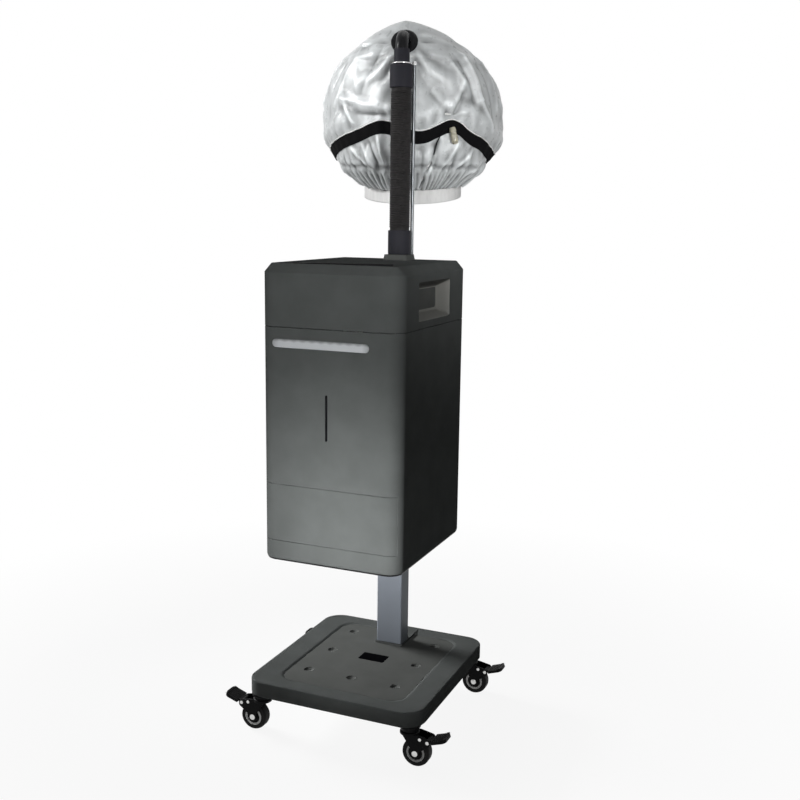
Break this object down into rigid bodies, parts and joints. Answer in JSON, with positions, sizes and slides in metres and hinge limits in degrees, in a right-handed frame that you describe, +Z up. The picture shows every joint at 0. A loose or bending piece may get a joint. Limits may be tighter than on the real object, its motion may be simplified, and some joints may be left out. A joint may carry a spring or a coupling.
{
  "type": "hair steamer",
  "caption": "Salon hair steamer: steam cabinet with a water drawer on a column and wheeled base, a ribbed hose with a rod, and a gathered fabric hood that swivels.",
  "frame": {"origin": "on the floor under the middle of the base", "axes": "+Z up, -Y towards the front of the cabinet, +X to the right as seen from the front"},
  "size_m": [0.5438, 0.7946, 1.5842],
  "materials": {
    "charcoal_casing": "satin",
    "grey_trim": "satin",
    "black_moulding": "satin",
    "gloss_black": "gloss",
    "hose_black": "satin",
    "tyre_black": "matte",
    "column_paint": "satin",
    "plated_steel": "brushed",
    "chrome": "polished",
    "frosted_lens": "frosted",
    "dark_glass": "gloss",
    "tank_plastic": "translucent",
    "board_green": "satin",
    "silicone": "matte",
    "silver_cloth": "metallised",
    "white_cloth": "matte",
    "black_webbing": "matte"
  },
  "bodies": {
    "stand": {"base_shell": "charcoal_casing", "base_ballast": "plated_steel", "base_mat": "grey_trim", "base_insert": "gloss_black", "column": "column_paint", "cabinet_shell": "charcoal_casing", "top_cover": "charcoal_casing", "top_panel": "grey_trim", "hose_collar": "grey_trim", "handle_cup_left": "grey_trim", "handle_cup_right": "grey_trim", "light_bar": "frosted_lens", "control_board": "board_green", "level_window": "dark_glass", "drawer_deck": "plated_steel", "rear_panel": "charcoal_casing", "equipment_shelf": "plated_steel", "boiler": "plated_steel", "steam_duct": "silicone", "blower_housing": "black_moulding", "fan_motor": "plated_steel", "water_pump": "plated_steel", "mains_inlet": "black_moulding", "lower_cuff": "black_moulding", "steam_hose": "hose_black", "caster_front_left_head": "plated_steel", "caster_front_right_head": "plated_steel", "caster_rear_left_head": "plated_steel", "caster_rear_right_head": "plated_steel"},
    "drawer": {"drawer_front": "charcoal_casing", "drawer_tray": "grey_trim", "water_tank": "tank_plastic", "tank_cap": "black_moulding"},
    "fan": {"fan_wheel": "black_moulding"},
    "switch": {"rocker_switch": "black_moulding"},
    "mast": {"support_rod": "chrome", "rod_ring": "chrome", "upper_cuff": "black_moulding"},
    "hood": {"hood_elbow": "gloss_black", "hood_flange": "gloss_black", "hood_shell": "silver_cloth", "hood_lining": "white_cloth", "hood_hoop": "plated_steel", "hood_strap": "black_webbing"},
    "caster_front_left_swivel": {"caster_front_left_fork": "black_moulding", "caster_front_left_axle": "plated_steel"},
    "caster_front_left_roll": {"caster_front_left_wheel": "tyre_black"},
    "caster_front_left_brake": {"caster_front_left_pedal": "black_moulding"},
    "caster_front_right_swivel": {"caster_front_right_fork": "black_moulding", "caster_front_right_axle": "plated_steel"},
    "caster_front_right_roll": {"caster_front_right_wheel": "tyre_black"},
    "caster_front_right_brake": {"caster_front_right_pedal": "black_moulding"},
    "caster_rear_left_swivel": {"caster_rear_left_fork": "black_moulding", "caster_rear_left_axle": "plated_steel"},
    "caster_rear_left_roll": {"caster_rear_left_wheel": "tyre_black"},
    "caster_rear_left_brake": {"caster_rear_left_pedal": "black_moulding"},
    "caster_rear_right_swivel": {"caster_rear_right_fork": "black_moulding", "caster_rear_right_axle": "plated_steel"},
    "caster_rear_right_roll": {"caster_rear_right_wheel": "tyre_black"},
    "caster_rear_right_brake": {"caster_rear_right_pedal": "black_moulding"}
  },
  "joints": [
    {"name": "caster_front_left_swivel", "type": "hinge", "parent": "stand", "child": "caster_front_left_swivel", "pos_m": [-0.18, -0.19, 0.0754], "axis": [0, 0, 1], "continuous": true},
    {"name": "caster_front_left_roll", "type": "hinge", "parent": "caster_front_left_swivel", "child": "caster_front_left_roll", "pos_m": [-0.198, -0.19, 0.031], "axis": [0, 1, 0], "continuous": true},
    {"name": "caster_front_left_brake", "type": "hinge", "parent": "caster_front_left_swivel", "child": "caster_front_left_brake", "pos_m": [-0.226, -0.19, 0.061], "axis": [0, -1, 0], "range_deg": [0, 12]},
    {"name": "caster_front_right_swivel", "type": "hinge", "parent": "stand", "child": "caster_front_right_swivel", "pos_m": [0.18, -0.19, 0.0754], "axis": [0, 0, 1], "continuous": true},
    {"name": "caster_front_right_roll", "type": "hinge", "parent": "caster_front_right_swivel", "child": "caster_front_right_roll", "pos_m": [0.198, -0.19, 0.031], "axis": [0, 1, 0], "continuous": true},
    {"name": "caster_front_right_brake", "type": "hinge", "parent": "caster_front_right_swivel", "child": "caster_front_right_brake", "pos_m": [0.226, -0.19, 0.061], "axis": [0, 1, 0], "range_deg": [0, 12]},
    {"name": "caster_rear_left_swivel", "type": "hinge", "parent": "stand", "child": "caster_rear_left_swivel", "pos_m": [-0.18, 0.19, 0.0754], "axis": [0, 0, 1], "continuous": true},
    {"name": "caster_rear_left_roll", "type": "hinge", "parent": "caster_rear_left_swivel", "child": "caster_rear_left_roll", "pos_m": [-0.198, 0.19, 0.031], "axis": [0, 1, 0], "continuous": true},
    {"name": "caster_rear_left_brake", "type": "hinge", "parent": "caster_rear_left_swivel", "child": "caster_rear_left_brake", "pos_m": [-0.226, 0.19, 0.061], "axis": [0, -1, 0], "range_deg": [0, 12]},
    {"name": "caster_rear_right_swivel", "type": "hinge", "parent": "stand", "child": "caster_rear_right_swivel", "pos_m": [0.18, 0.19, 0.0754], "axis": [0, 0, 1], "continuous": true},
    {"name": "caster_rear_right_roll", "type": "hinge", "parent": "caster_rear_right_swivel", "child": "caster_rear_right_roll", "pos_m": [0.198, 0.19, 0.031], "axis": [0, 1, 0], "continuous": true},
    {"name": "caster_rear_right_brake", "type": "hinge", "parent": "caster_rear_right_swivel", "child": "caster_rear_right_brake", "pos_m": [0.226, 0.19, 0.061], "axis": [0, 1, 0], "range_deg": [0, 12]},
    {"name": "drawer_slide", "type": "slide", "parent": "stand", "child": "drawer", "axis": [0, -1, 0], "range_m": [0, 0.2]},
    {"name": "fan_spin", "type": "hinge", "parent": "stand", "child": "fan", "pos_m": [0.085, 0.02, 0.652], "axis": [0, 0, 1], "continuous": true},
    {"name": "switch_rock", "type": "hinge", "parent": "stand", "child": "switch", "pos_m": [-0.018, 0.1595, 0.51], "axis": [-1, 0, 0], "range_deg": [0, 14]},
    {"name": "hood_height", "type": "slide", "parent": "stand", "child": "mast", "axis": [0, 0, 1], "range_m": [-0.06, 0], "deforming": ["steam_hose"]},
    {"name": "hood_swivel", "type": "hinge", "parent": "mast", "child": "hood", "pos_m": [0.015, 0.106, 1.4792], "axis": [0, 0, 1], "range_deg": [-20, 140]}
  ]
}
